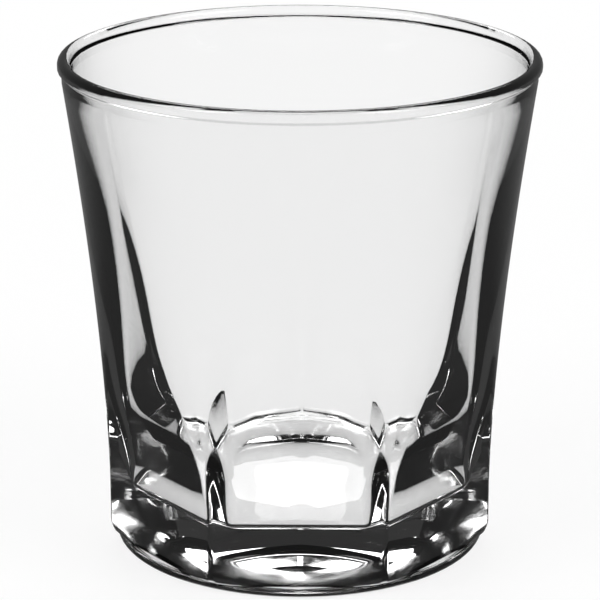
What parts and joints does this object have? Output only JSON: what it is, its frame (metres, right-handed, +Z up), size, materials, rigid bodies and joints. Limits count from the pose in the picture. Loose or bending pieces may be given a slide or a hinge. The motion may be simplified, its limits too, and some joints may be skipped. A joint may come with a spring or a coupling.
{
  "type": "rocks glass",
  "caption": "Clear pressed rocks glass: flat side panels, sharp at the heavy base, fade into a flared round rim; open cup for short drinks.",
  "frame": {"origin": "centre of the circle that the foot stands on, on the table plane", "axes": "+Z up along the axis of the glass; the middle of one flat panel faces -Y and a panel corner faces +Y"},
  "size_m": [0.086, 0.086, 0.09],
  "materials": {
    "glass": "clear, fire-polished"
  },
  "bodies": {
    "root": {"base": "glass", "wall": "glass", "rim": "glass"}
  },
  "joints": []
}
